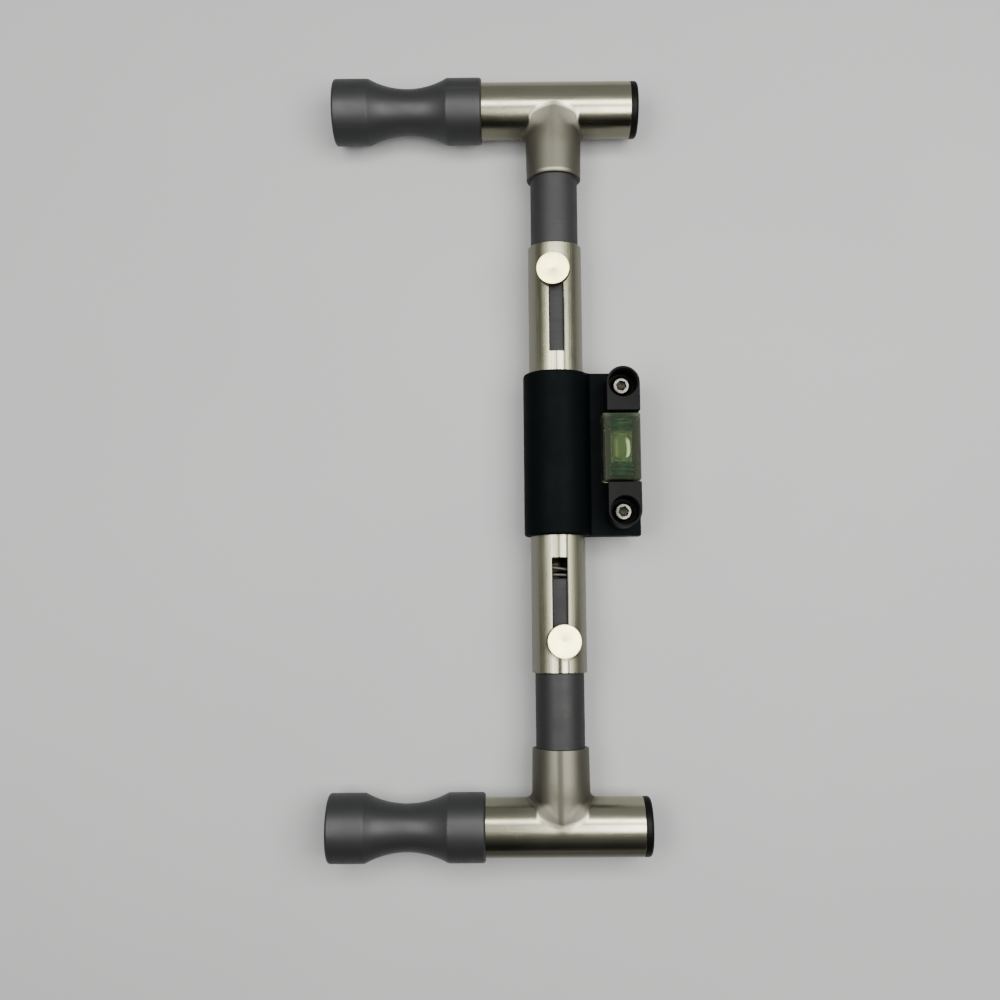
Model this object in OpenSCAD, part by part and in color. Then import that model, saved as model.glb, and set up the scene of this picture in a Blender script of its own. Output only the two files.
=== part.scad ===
// Steering wheel centering tool: a spring-loaded telescoping bar that braces
// across the inside of a steering wheel and shows level on a bubble vial.
//
// The tool lies flat with its vial facing up (+Z). The bar runs along Y and the
// rim spools point to -X. Shapes are drawn about the middle of the bar, and
// place() then puts the origin under the middle of the whole tool. The upper
// arm is the one at +Y, and the lower arm is its mirror image.

/* [Centre tube] */
// Outside diameter of the centre tube
tube_od = 25.4; // [22:0.1:32]
// Wall of the centre tube
tube_wall = 1.25; // [1:0.05:1.8]
// Length of the centre tube
tube_len = 201; // [185:1:240]
// Width of the two slots that the knobs slide in
slot_w = 7.2; // [5.5:0.1:8]
// Length of each slot
slot_len = 40; // [36:0.5:46]
// Metal left between a slot and the end of the tube
slot_margin = 12.6; // [9:0.1:16]
// Radius on the outer edges of the tube's ends
tube_edge_r = 0.4; // [0.2:0.1:0.8]

/* [Sliding rods] */
// Radial running clearance of a rod in the centre tube
rod_gap = 0.2; // [0.1:0.05:0.3]
// Length of the upper rod, from its inner end to its shoulder
upper_rod_len = 126; // [118:0.5:134]
// Length of the lower rod, from its inner end to its shoulder
lower_rod_len = 112.5; // [104:0.5:120]
// Length of rod that shows between tube and tee at rest
rod_exposed = 34; // [28:0.5:45]
// Diameter of the tenon at the outer end of a rod
tenon_d = 14; // [12:0.5:15]
// Reach of the tenon past the axis of the tee's run
tenon_reach = 7; // [5.5:0.1:7.5]
// Edge radius on the inner end of a rod
rod_edge_r = 0.7; // [0.3:0.1:1]

/* [Tees] */
// Wall of the tee's run
run_wall = 2.1; // [1.8:0.05:2.8]
// Wall of the tee's neck
neck_wall = 1.7; // [1.2:0.05:1.75]
// Distance from the neck's axis to either end of the run
run_half = 37.2; // [32:0.1:45]
// Distance from the run's axis to the end of the neck
neck_reach = 35.5; // [28:0.1:45]
// Radius of the pulled fillet where the neck leaves the run
crotch_r = 2.6; // [1.5:0.1:4]
// Clearance of pieces that are glued, pressed or clamped together
fit_gap = 0.05; // [0.02:0.01:0.1]

/* [Rim spools] */
// Diameter of a spool over its two lands
spool_d = 31.2; // [29.5:0.1:36]
// Length of a spool
spool_len = 71.5; // [64:0.5:85]
// Diameter of a spool at the bottom of its waist
waist_d = 21.4; // [18:0.1:24]
// Length of the waist, from land to land
waist_len = 38; // [30:0.5:42]
// Edge radius on the ends of a spool
spool_edge_r = 1.4; // [0.6:0.1:2]
// Depth that the run of the tee enters the spool
socket_depth = 2.7; // [1.5:0.1:5]
// Depth of the pocket for the bolt head
bolt_recess = 15; // [9:0.1:16]

/* [Fasteners] */
// Diameter of the spool bolts
bolt_d = 6; // [5:0.5:7]
// Head diameter of the spool bolts
bolt_head_d = 10; // [8:0.1:11]
// Head height of the spool bolts
bolt_head_h = 6; // [4:0.1:7]
// Thickness of the washers under the bolt heads
washer_t = 1.6; // [1:0.1:2]
// Outside diameter of the washers
washer_d = 12; // [11:0.1:13]
// Diameter of the vial screws
screw_d = 5; // [4:0.5:6]
// Head diameter of the vial screws
screw_head_d = 8.5; // [7:0.1:10]
// Head height of the vial screws
screw_head_h = 5; // [4:0.1:6]
// Width across flats of the clamp nuts
nut_flats = 8; // [7:0.1:9]
// Thickness of the clamp nuts
nut_t = 4; // [3:0.1:4.5]

/* [End plugs] */
// Thickness of the plug's cap outside the tee
plug_cap = 3.4; // [2.5:0.1:5]
// Edge radius of the cap
plug_edge_r = 1.6; // [0.8:0.1:2.2]
// Length of the plug's skirt inside the tee
plug_skirt = 13; // [10:0.5:16]
// Number of sealing fins on the skirt
plug_fins = 3; // [2:1:4]

/* [Finger knobs] */
// Diameter of a knob's head
knob_d = 15.5; // [13:0.1:18]
// Thickness of a knob's head
knob_t = 4.3; // [3:0.1:6]
// Radius on the upper edge of a knob's head
knob_edge_r = 0.4; // [0.2:0.1:1]
// Gap between a knob's head and the tube
knob_lift = 0.5; // [0.3:0.1:1]
// Diameter of the neck that runs in the slot
knob_neck_d = 3.5; // [3:0.1:4]
// Diameter of the stud that screws into the rod
knob_stud_d = 4; // [3.5:0.1:5]
// Depth of the stud in the rod
knob_stud_len = 8; // [6:0.5:10]

/* [Spring] */
// Wire diameter of the spring
wire_d = 1.6; // [1.2:0.1:1.8]
// Number of turns in the spring, closed ends included
spring_turns = 13; // [10:1:14]
// Radial gap between the spring and the tube
spring_gap = 0.7; // [0.4:0.1:1.2]
// Pitch of the closed turns at each end
end_pitch = 2.2; // [2.2:0.1:3]

/* [Vial clamp] */
// Wall of the sleeve around the tube
clamp_wall = 2.85; // [2.2:0.05:4]
// Length of the clamp along the tube
clamp_len = 76.4; // [76:0.1:84]
// Distance from the bar's middle to the clamp's, towards the upper arm
clamp_shift = 0.6; // [-3:0.1:3]
// Distance from the bar's axis to the edge of the flange
flange_reach = 38.5; // [36:0.1:44]
// Height of the upper lip above the bar's axis
lip_top = 4; // [3:0.1:6]
// Depth of the lower lip below the bar's axis
lip_bottom = 6.5; // [6:0.1:8]
// Width of the clamping slit between the lips
slit_w = 1.2; // [0.8:0.1:2]
// Radius on the outer edges of the sleeve's ends
sleeve_edge_r = 1.2; // [0.5:0.1:2]

/* [Vial holder] */
// Distance from the clamp's middle to the holder's, towards the upper arm
holder_shift = 1.2; // [-1.5:0.1:1.5]
// Width of the holder's end posts
holder_w = 15.2; // [14.5:0.1:16]
// Height of the holder above the flange
holder_h = 17.5; // [15:0.1:20]
// Flange left bare outside the holder
holder_inset = 1.4; // [0.5:0.1:3]
// Thickness of the strip under the vial
holder_base = 3; // [2:0.1:4]
// Distance between the two screws
screw_pitch = 58.4; // [54:0.1:60]
// Diameter of the pockets for the screw heads
pocket_d = 13; // [11.5:0.1:13.5]
// Plastic left under the screw heads
pocket_floor = 4.2; // [4:0.1:7]

/* [Vial] */
// Length of the clear block
block_len = 30.4; // [29:0.1:34]
// Width of the clear block
block_w = 17; // [15:0.1:18]
// Height of the clear block
block_h = 13.8; // [13:0.1:15]
// Bevel on the long edges of the block
block_bevel = 0.8; // [0.3:0.1:1.2]
// Gap between the block and each post
block_gap = 1.1; // [0.5:0.1:2]
// Diameter of the barrel that holds the fluid
barrel_d = 10.4; // [9:0.1:11]
// Thickness of the wall and of the plug at the ends of the barrel
barrel_end = 2; // [2:0.1:3]
// Length of the bubble
bubble_len = 12; // [9:0.1:13]
// Width of the bubble
bubble_w = 7.6; // [6:0.1:8.5]
// Depth of the bubble
bubble_depth = 2.6; // [1.8:0.1:3]
// Distance from the middle to the first index ring
ring_start = 8.3; // [7:0.1:8.5]
// Distance between neighbouring index rings
ring_pitch = 2.1; // [1.5:0.1:2.4]
// Number of index rings on each side of the bubble
rings_per_side = 3; // [1:1:3]
// Width of an index ring
ring_w = 0.9; // [0.4:0.1:1.2]

/* [Hidden] */
$fn = 96;

// Length added to a cutter so that it passes through a face
over = 1;
// Radial clearance of a fastener in the hole that it passes through
hole_gap = 0.2;
// Width of a key socket as a share of its fastener's diameter
key_share = 0.8;

// Colours of the pieces
steel = "#a9a69a";
bright_steel = "#d9d7cc";
grey_plastic = "#55585a";
black_plastic = "#17191b";
spring_steel = "#77736a";
clear_acrylic = "#cfe0c8";
green_fluid = "#5f7f4c";
ring_ink = "#20301f";
bubble_glint = "#b7c79a";

// Tube and rods
tube_r = tube_od / 2;
bore_r = tube_r - tube_wall;
rod_r = bore_r - rod_gap;
slot_outer = tube_len / 2 - slot_margin;
slot_inner = slot_outer - slot_len;

// Tees
tee_bore_r = rod_r + fit_gap;
run_r = tee_bore_r + run_wall;
neck_r = tee_bore_r + neck_wall;
run_y = tube_len / 2 + rod_exposed + neck_reach;
shoulder_gap = 0.5;
fillet_steps = 5;
fillet_turn = 48;
fillet_sink = 0.08;

// Spools, in X along the run
spool_r = spool_d / 2;
spool_x1 = socket_depth - run_half;
spool_x0 = spool_x1 - spool_len;
waist_depth = (spool_d - waist_d) / 2;
waist_r = (pow(waist_len / 2, 2) + pow(waist_depth, 2)) / (2 * waist_depth);
spigot_r = rod_r;
spigot_end = -(rod_r + shoulder_gap);
bolt_hole_r = bolt_d / 2 + hole_gap;
head_pocket_gap = 0.4;
head_pocket_r = washer_d / 2 + head_pocket_gap;
bolt_seat_x = spool_x0 + bolt_recess;
bolt_tip = 0.5;
bolt_tip_x = tenon_d / 2 + bolt_tip;

// Knobs: each neck leans against one side of its slot, at the slot's outer end
slot_side_gap = 0.65;
stop_gap = 0.1;
knob_y = slot_outer - knob_neck_d / 2 - stop_gap;
knob_lean = asin((slot_w / 2 - knob_neck_d / 2 - slot_side_gap) / tube_r);
knob_under = tube_r + knob_lift;
knob_neck_sink = 0.2;
knob_neck_end = rod_r - knob_neck_sink;
knob_dimple_r = 0.9;

// Spring, between the inner ends of the two rods
wire_r = wire_d / 2;
coil_r = bore_r - spring_gap - wire_r;
closed_turns = 1.2;
spring_low = lower_rod_len - run_y + fit_gap + wire_r;
spring_high = run_y - upper_rod_len - fit_gap - wire_r;
open_pitch = (spring_high - spring_low - 2 * closed_turns * end_pitch)
    / (spring_turns - 2 * closed_turns);
rings_per_turn = 8;
wire_sides = 6;
first_turn_angle = 200;

// Clamp and holder
clamp_bore_r = tube_r + fit_gap;
sleeve_r = clamp_bore_r + clamp_wall;
lip_fillet_r = 2;
fillet_bite = 0.1;
flange_edge_r = 1;
holder_x = flange_reach - holder_inset - holder_w / 2;
holder_z = lip_top;
screw_seat_z = holder_z + pocket_floor;
screw_tip = 0.3;
screw_len = pocket_floor + lip_top + lip_bottom + screw_tip;
screw_hole_r = screw_d / 2 + hole_gap;
nut_gap = 0.1;

// End plugs
skirt_gap = 0.6;
skirt_wall = 1.8;
fin_w = 1.2;

// Vial
block_x1 = flange_reach - holder_inset;
block_x = block_x1 - block_w / 2;
block_z = holder_z + holder_base;
barrel_z = block_z + block_h / 2;
barrel_r = barrel_d / 2;
barrel_half = block_len / 2 - barrel_end;
ring_depth = 0.3;
skin = 0.02;
bubble_clear = 0.12;
bubble_base = barrel_r - bubble_clear - bubble_depth;

// Corner of the whole tool's box, which sets the origin
plug_x = run_half + plug_cap;
origin_x = -(spool_x0 + max(plug_x, flange_reach)) / 2;
origin_z = max(spool_r, sleeve_r);

// Frames and shared shapes

module place() {
    translate([origin_x, 0, origin_z]) children();
}

// The upper arm for side 1 and the lower arm for side -1, about its tee's axis
module arm(side) {
    place() mirror([0, side < 0 ? 1 : 0, 0]) translate([0, run_y, 0]) children();
}

// Turns a solid drawn along Z so that it lies along X
module along_x() {
    rotate([0, 90, 0]) children();
}

// Turns a solid drawn along Z so that it lies along Y
module along_y() {
    rotate([-90, 0, 0]) children();
}

// Both positions of a pair at +y and -y
module pair(y) {
    for (side = [-1, 1]) translate([0, side * y, 0]) children();
}

// What a round of radius r takes off a corner at the origin, towards -X and -Y
module corner_cut(r) {
    difference() {
        translate([-r, -r]) square(r + over);
        translate([-r, -r]) circle(r);
    }
}

// Profile in radius and height whose upper outer corner is rounded
module round_top_profile(r, h, edge) {
    difference() {
        square([r, h]);
        translate([r, h]) corner_cut(edge);
    }
}

// Profile in radius and height, about its middle, whose two outer corners are rounded
module round_ends_profile(r, len, edge) {
    difference() {
        translate([0, -len / 2]) square([r, len]);
        translate([r, len / 2]) corner_cut(edge);
        translate([r, -len / 2]) mirror([0, 1]) corner_cut(edge);
    }
}

module hexagon_prism(flats, h) {
    cylinder(r = flats / 2 / cos(30), h = h, $fn = 6);
}

// Socket head screw with the underside of its head at z = 0 and its shank below
module socket_screw(d, head_d, head_h, len) {
    difference() {
        union() {
            rotate_extrude() round_top_profile(head_d / 2, head_h, head_h / 8);
            translate([0, 0, -len]) cylinder(d = d, h = len + fit_gap);
        }
        translate([0, 0, head_h / 2]) hexagon_prism(key_share * d, head_h);
    }
}

// Centre tube with its bore and the two knob slots

module center_tube() {
    color(steel) place() difference() {
        along_y() rotate_extrude() round_ends_profile(tube_r, tube_len, tube_edge_r);
        along_y() cylinder(r = bore_r, h = tube_len + 2 * over, center = true);
        pair((slot_inner + slot_outer) / 2)
            translate([-slot_w / 2, -slot_len / 2, 0]) cube([slot_w, slot_len, tube_od]);
    }
}

// Compression spring: one wire swept along a helix with closed ends

function spring_y(t) =
    t < closed_turns ? spring_low + t * end_pitch
    : t > spring_turns - closed_turns ? spring_high - (spring_turns - t) * end_pitch
    : spring_low + closed_turns * end_pitch + (t - closed_turns) * open_pitch;

function spring_point(t) =
    let (a = first_turn_angle + 360 * t)
    [coil_r * cos(a), spring_y(t), coil_r * sin(a)];

// One ring of the wire: sides around the coil's radius and the bar's axis
function wire_ring(t) =
    let (a = first_turn_angle + 360 * t, p = spring_point(t))
    [for (k = [0 : wire_sides - 1])
        let (b = 360 * k / wire_sides)
        p + wire_r * [cos(a) * cos(b), sin(b), sin(a) * cos(b)]];

// Least gap between one turn's wire and the next, measured on the swept points
spring_self_gap =
    let (
        n = spring_turns * rings_per_turn,
        p = [for (i = [0 : n]) spring_point(i / rings_per_turn)]
    )
    min([for (i = [0 : n - rings_per_turn + 2], j = [i + rings_per_turn - 2 : n])
        norm(p[i] - p[j])]) - wire_d;

module compression_spring() {
    echo(spring_self_gap = spring_self_gap);
    rings = spring_turns * rings_per_turn;
    points = [for (i = [0 : rings]) each wire_ring(i / rings_per_turn)];
    sides = [for (i = [0 : rings - 1], k = [0 : wire_sides - 1])
        let (a = i * wire_sides + k, b = i * wire_sides + (k + 1) % wire_sides)
        each [[a, b, a + wire_sides], [b, b + wire_sides, a + wire_sides]]];
    last = rings * wire_sides;
    first_cap = [for (k = [1 : wire_sides - 2]) [0, k + 1, k]];
    last_cap = [for (k = [1 : wire_sides - 2]) [last, last + k, last + k + 1]];
    color(spring_steel) place() polyhedron(points, concat(sides, first_cap, last_cap));
}

// Vial clamp: split sleeve whose two lips are drawn together by the vial screws

// Fillet between the sleeve and the face of a lip at height z. Its arc ends a
// little inside both, so that the faces cross instead of just touching
module lip_fillet(z) {
    rise = z + lip_fillet_r - fillet_bite;
    reach = sleeve_r + lip_fillet_r - fillet_bite;
    centre = [sqrt(pow(reach, 2) - pow(rise, 2)), rise];
    difference() {
        polygon([[0, 0], centre, [centre[0], 0]]);
        translate(centre) circle(lip_fillet_r);
    }
}

// Both lips as one plate, before the slit parts them
module flange_profile() {
    difference() {
        translate([0, -lip_bottom]) square([flange_reach, lip_bottom + lip_top]);
        translate([flange_reach, lip_top]) corner_cut(flange_edge_r);
        translate([flange_reach, -lip_bottom]) mirror([0, 1]) corner_cut(flange_edge_r);
    }
}

// Moves a shape drawn about the clamp's middle to its place on the bar
module on_clamp() {
    place() translate([0, clamp_shift, 0]) children();
}

// Moves a shape drawn about the holder's middle to its place on the clamp
module on_holder() {
    on_clamp() translate([0, holder_shift, 0]) children();
}

// Draws a profile in X and Z along the length of the clamp
module along_clamp() {
    rotate([90, 0, 0]) linear_extrude(clamp_len, center = true) children();
}

module vial_clamp() {
    color(black_plastic) on_clamp() difference() {
        union() {
            along_y() rotate_extrude() round_ends_profile(sleeve_r, clamp_len, sleeve_edge_r);
            along_clamp() flange_profile();
            along_clamp() lip_fillet(lip_top);
            along_clamp() mirror([0, 1]) lip_fillet(lip_bottom);
        }
        along_y() cylinder(r = clamp_bore_r, h = clamp_len + 2 * over, center = true);
        translate([0, -clamp_len, -slit_w / 2]) cube([flange_reach + over, 2 * clamp_len, slit_w]);
        pair(screw_pitch / 2) translate([holder_x, holder_shift, -lip_bottom - over]) {
            cylinder(r = screw_hole_r, h = lip_bottom + lip_top + 2 * over);
            hexagon_prism(nut_flats + 2 * nut_gap, nut_t + nut_gap + over);
        }
    }
}

module clamp_nuts() {
    color(bright_steel) on_holder() pair(screw_pitch / 2)
        translate([holder_x, 0, nut_gap - lip_bottom]) difference() {
            hexagon_prism(nut_flats, nut_t);
            translate([0, 0, -over]) cylinder(r = screw_d / 2 + fit_gap, h = nut_t + 2 * over);
        }
}

// Vial holder: a strip with two round-ended posts that stand at the vial's ends

module holder_outline() {
    square([holder_w, screw_pitch], center = true);
    pair(screw_pitch / 2) circle(d = holder_w);
}

module vial_holder() {
    post_y = block_len / 2 + block_gap;
    color(black_plastic) on_holder() translate([holder_x, 0, holder_z]) difference() {
        linear_extrude(holder_h) holder_outline();
        translate([-holder_w, -post_y, holder_base])
            cube([2 * holder_w, 2 * post_y, holder_h]);
        pair(screw_pitch / 2) {
            translate([0, 0, -over]) cylinder(r = screw_hole_r, h = holder_h);
            translate([0, 0, pocket_floor]) cylinder(d = pocket_d, h = holder_h);
        }
    }
}

module vial_screws() {
    color(bright_steel) on_holder() pair(screw_pitch / 2)
        translate([holder_x, 0, screw_seat_z])
            socket_screw(screw_d, screw_head_d, screw_head_h, screw_len);
}

// Vial: a clear block bored along Y, closed by a plug and filled but for a bubble

// Moves a shape drawn about the barrel's middle to its place in the block
module in_barrel() {
    on_holder() translate([block_x, 0, barrel_z]) children();
}

module barrel_cylinder(r, half) {
    along_y() cylinder(r = r, h = 2 * half, center = true);
}

// Positions of the index rings along the barrel
module each_ring() {
    for (i = [0 : rings_per_side - 1]) pair(ring_start + i * ring_pitch) children();
}

module block_profile() {
    w = block_w / 2;
    h = block_h / 2;
    c = block_bevel;
    polygon([[-w + c, -h], [w - c, -h], [w, -h + c], [w, h - c],
        [w - c, h], [-w + c, h], [-w, h - c], [-w, -h + c]]);
}

module vial_block() {
    color(clear_acrylic, 0.35) in_barrel() difference() {
        rotate([90, 0, 0]) linear_extrude(block_len, center = true) block_profile();
        barrel_cylinder(barrel_r, barrel_half);
        translate([0, -barrel_half, 0]) along_y()
            translate([0, 0, -barrel_end - over]) cylinder(r = barrel_r, h = barrel_end + 2 * over);
        each_ring() barrel_cylinder(barrel_r + ring_depth + skin, ring_w / 2 + skin);
    }
}

module vial_end_plug() {
    color(clear_acrylic, 0.6) in_barrel()
        translate([0, -barrel_half - barrel_end / 2, 0])
            barrel_cylinder(barrel_r - skin, barrel_end / 2 - skin);
}

// The bubble lies against the top of the barrel; grow widens it on every side
module bubble_shape(grow) {
    straight = bubble_len - bubble_w;
    intersection() {
        barrel_cylinder(barrel_r - bubble_clear + grow, bubble_len);
        translate([0, 0, bubble_base - grow]) linear_extrude(barrel_d) {
            square([bubble_w + 2 * grow, straight], center = true);
            pair(straight / 2) circle(d = bubble_w + 2 * grow);
        }
    }
}

module vial_fluid() {
    color(green_fluid, 0.6) in_barrel() difference() {
        barrel_cylinder(barrel_r - skin, barrel_half - skin);
        bubble_shape(bubble_clear / 2);
    }
}

module vial_index_rings() {
    color(ring_ink) in_barrel() each_ring() difference() {
        barrel_cylinder(barrel_r + ring_depth, ring_w / 2);
        barrel_cylinder(barrel_r, ring_w);
    }
}

module vial_bubble() {
    color(bubble_glint, 0.5) in_barrel() bubble_shape(0);
}

// Sliding rods, drawn about the axis of the tee's run with the bar towards -Y

module rod(side, len) {
    color(grey_plastic) arm(side) difference() {
        union() {
            translate([0, -shoulder_gap, 0]) rotate([90, 0, 0])
                rotate_extrude() round_top_profile(rod_r, len - shoulder_gap, rod_edge_r);
            translate([0, -shoulder_gap - over, 0]) along_y()
                cylinder(d = tenon_d, h = tenon_reach + shoulder_gap + over);
        }
        along_x() cylinder(r = bolt_d / 2 + fit_gap, h = tube_od, center = true);
        knob_frame(side) translate([0, 0, rod_r - knob_stud_len - fit_gap])
            cylinder(d = knob_stud_d + 2 * fit_gap, h = knob_stud_len + over);
    }
}

// A knob's own frame in its arm: on the bar's axis, with Z along the leaning neck
module knob_frame(side) {
    translate([0, knob_y - run_y, 0]) rotate([0, -side * knob_lean, 0]) children();
}

module knob(side) {
    color(bright_steel) arm(side) knob_frame(side) difference() {
        union() {
            translate([0, 0, knob_under])
                rotate_extrude() round_top_profile(knob_d / 2, knob_t, knob_edge_r);
            translate([0, 0, knob_neck_end])
                cylinder(d = knob_neck_d, h = knob_under - knob_neck_end + over);
            translate([0, 0, rod_r - knob_stud_len])
                cylinder(d = knob_stud_d, h = knob_neck_end - rod_r + knob_stud_len);
        }
        translate([0, 0, knob_under + knob_t - knob_dimple_r / 2])
            cylinder(r1 = 0, r2 = 2 * knob_dimple_r, h = knob_dimple_r);
    }
}

// Tees: a run and a pulled neck that meet in a rolling-ball fillet

// Centre of the ball that touches neck and run at angle a about the neck
function ball_centre(a) =
    let (z = (neck_r + crotch_r) * sin(a))
    [(neck_r + crotch_r) * cos(a), -sqrt(pow(run_r + crotch_r, 2) - z * z), z];

function unit(v) = v / norm(v);

// Fillet section at angle a: from inside the neck, round the ball, to inside the run,
// and back to a point in the bore, where the cut takes it away
function fillet_section(a) =
    let (
        c = ball_centre(a),
        to_neck = [-cos(a), 0, -sin(a)],
        to_run = unit([0, -c[1], -c[2]]),
        angle = acos(to_neck * to_run),
        inside = [rod_r * cos(a), c[1] / 2, rod_r * sin(a)]
    )
    concat(
        [c + (crotch_r + fillet_sink) * to_neck],
        [for (i = [1 : fillet_steps - 1])
            let (s = i / fillet_steps)
            c + crotch_r * (sin((1 - s) * angle) * to_neck + sin(s * angle) * to_run) / sin(angle)],
        [c + (crotch_r + fillet_sink) * to_run, inside]
    );

module crotch_fillet() {
    n = fillet_steps + 2;
    points = [for (i = [0 : fillet_turn - 1]) each fillet_section(360 * i / fillet_turn)];
    faces = [for (i = [0 : fillet_turn - 1], k = [0 : n - 1])
        let (
            j = (i + 1) % fillet_turn,
            a = i * n + k,
            b = i * n + (k + 1) % n,
            c = j * n + k,
            d = j * n + (k + 1) % n
        )
        each [[a, c, b], [b, c, d]]];
    polyhedron(points, faces);
}

module tee(side) {
    color(steel) arm(side) difference() {
        union() {
            along_x() cylinder(r = run_r, h = 2 * run_half, center = true);
            translate([0, -neck_reach, 0]) along_y() cylinder(r = neck_r, h = neck_reach);
            crotch_fillet();
        }
        along_x() cylinder(r = tee_bore_r, h = 2 * run_half + 2 * over, center = true);
        translate([0, -neck_reach - over, 0]) along_y()
            cylinder(r = tee_bore_r, h = neck_reach + over);
    }
}

// Rim spools: turned with a waist for the rim, a socket over the run and a spigot

module spool_profile() {
    difference() {
        union() {
            translate([0, spool_x0]) square([spool_r, spool_len]);
            translate([0, spool_x0]) square([spigot_r, spigot_end - spool_x0]);
        }
        translate([waist_d / 2 + waist_r, (spool_x0 + spool_x1) / 2]) circle(waist_r, $fn = 240);
        translate([spool_r, spool_x1]) corner_cut(spool_edge_r);
        translate([spool_r, spool_x0]) mirror([0, 1]) corner_cut(spool_edge_r);
        translate([spigot_r, -run_half - fit_gap])
            square([run_r + fit_gap - spigot_r, socket_depth + over]);
        translate([0, spool_x0 - over]) square([bolt_hole_r, spool_len + run_half]);
        translate([0, spool_x0 - over]) square([head_pocket_r, bolt_recess + over]);
    }
}

module spool(side) {
    color(grey_plastic) arm(side) along_x() rotate_extrude() spool_profile();
}

module spool_bolt(side) {
    len = bolt_tip_x - bolt_seat_x + washer_t;
    color(bright_steel) arm(side) translate([bolt_seat_x - washer_t, 0, 0]) rotate([0, -90, 0])
        socket_screw(bolt_d, bolt_head_d, bolt_head_h, len);
}

module bolt_washer(side) {
    color(bright_steel) arm(side) translate([bolt_seat_x - washer_t, 0, 0]) along_x() difference() {
        cylinder(d = washer_d, h = washer_t);
        translate([0, 0, -over]) cylinder(r = bolt_hole_r, h = washer_t + 2 * over);
    }
}

// End plugs: a cap flush with the run and a hollow skirt with sealing fins

module plug_profile() {
    skirt_r = tee_bore_r - skirt_gap;
    fin_pitch = plug_skirt / plug_fins;
    difference() {
        union() {
            round_top_profile(run_r, plug_cap, plug_edge_r);
            translate([0, -plug_skirt]) square([skirt_r, plug_skirt + over]);
            for (i = [0 : plug_fins - 1])
                translate([0, -plug_skirt + i * fin_pitch]) square([tee_bore_r - fit_gap, fin_w]);
        }
        translate([0, -plug_skirt - over]) square([skirt_r - skirt_wall, plug_skirt + over]);
    }
}

module end_plug(side) {
    color(black_plastic) arm(side) translate([run_half, 0, 0]) along_x()
        rotate_extrude() plug_profile();
}

// Nodes

center_tube();
compression_spring();
vial_clamp();
clamp_nuts();
vial_holder();
vial_screws();
vial_block();
vial_end_plug();
vial_fluid();
vial_index_rings();
vial_bubble();
rod(1, upper_rod_len);  // upper_rod
tee(1);  // upper_tee
spool(1);  // upper_spool
spool_bolt(1);  // upper_spool_bolt
bolt_washer(1);  // upper_bolt_washer
end_plug(1);  // upper_end_plug
knob(1);  // upper_knob
rod(-1, lower_rod_len);  // lower_rod
tee(-1);  // lower_tee
spool(-1);  // lower_spool
spool_bolt(-1);  // lower_spool_bolt
bolt_washer(-1);  // lower_bolt_washer
end_plug(-1);  // lower_end_plug
knob(-1);  // lower_knob
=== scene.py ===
import math

import bpy
import bmesh
from mathutils import Matrix, Vector


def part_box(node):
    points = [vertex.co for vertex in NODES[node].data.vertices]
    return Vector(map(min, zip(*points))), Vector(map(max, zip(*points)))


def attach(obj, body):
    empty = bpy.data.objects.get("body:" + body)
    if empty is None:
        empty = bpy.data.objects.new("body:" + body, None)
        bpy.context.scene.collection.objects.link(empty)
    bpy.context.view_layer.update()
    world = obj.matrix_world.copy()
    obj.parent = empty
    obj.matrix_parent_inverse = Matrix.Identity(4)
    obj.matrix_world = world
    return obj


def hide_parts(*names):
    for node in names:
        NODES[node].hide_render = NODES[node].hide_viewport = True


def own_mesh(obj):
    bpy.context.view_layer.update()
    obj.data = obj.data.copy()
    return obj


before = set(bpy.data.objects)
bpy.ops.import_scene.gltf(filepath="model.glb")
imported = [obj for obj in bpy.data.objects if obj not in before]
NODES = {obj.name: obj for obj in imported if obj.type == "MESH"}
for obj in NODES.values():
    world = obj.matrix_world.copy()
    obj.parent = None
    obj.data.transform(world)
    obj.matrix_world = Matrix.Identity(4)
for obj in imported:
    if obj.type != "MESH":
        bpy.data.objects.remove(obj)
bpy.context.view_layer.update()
MM = 0.001
SIDES = {"upper": 1, "lower": -1}

# Sizes in metres, read from the frame's boxes where a box gives them

tube_low, tube_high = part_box("center_tube")
BAR_X = (tube_low.x + tube_high.x) / 2
BAR_Z = (tube_low.z + tube_high.z) / 2
TUBE_R = (tube_high.x - tube_low.x) / 2

rod_low, rod_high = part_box("upper_rod")
ROD_R = (rod_high.x - rod_low.x) / 2

tee_low, tee_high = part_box("upper_tee")
RUN_HALF = (tee_high.x - tee_low.x) / 2
RUN_R = 13.4 * MM
RUN_Y = tee_high.y - RUN_R
NECK_REACH = RUN_Y - tee_low.y
NECK_R = 13.0 * MM
NECK_ROOT_R = 13.3 * MM
TEE_BORE_R = ROD_R + 0.05 * MM
CROTCH_R = 2.6 * MM
SADDLE_R = 30.0 * MM
SADDLE_POWER = 8

spool_low, spool_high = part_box("upper_spool")
SPOOL_R = (spool_high.y - spool_low.y) / 2
SPOOL_START = spool_low.x - BAR_X
SPIGOT_END = spool_high.x - BAR_X
SPOOL_LEN = 71.5 * MM
WAIST_LEN = 38.0 * MM
WAIST_R = 10.7 * MM
SPOOL_EDGE_R = 1.4 * MM
SOCKET_DEPTH = 2.7 * MM
SOCKET_R = RUN_R + 0.05 * MM
BOLT_POCKET_R = 6.4 * MM
BOLT_POCKET_DEPTH = 15.0 * MM
BOLT_HOLE_R = 3.2 * MM

plug_low, plug_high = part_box("upper_end_plug")
PLUG_END = plug_high.x - BAR_X
PLUG_START = plug_low.x - BAR_X

knob_low, knob_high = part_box("upper_knob")
KNOB_Y = (knob_low.y + knob_high.y) / 2
KNOB_R = (knob_high.y - knob_low.y) / 2
KNOB_UNDER = 13.2 * MM
KNOB_TOP = 17.5 * MM
KNOB_LEAN = math.radians(5.42)

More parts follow.
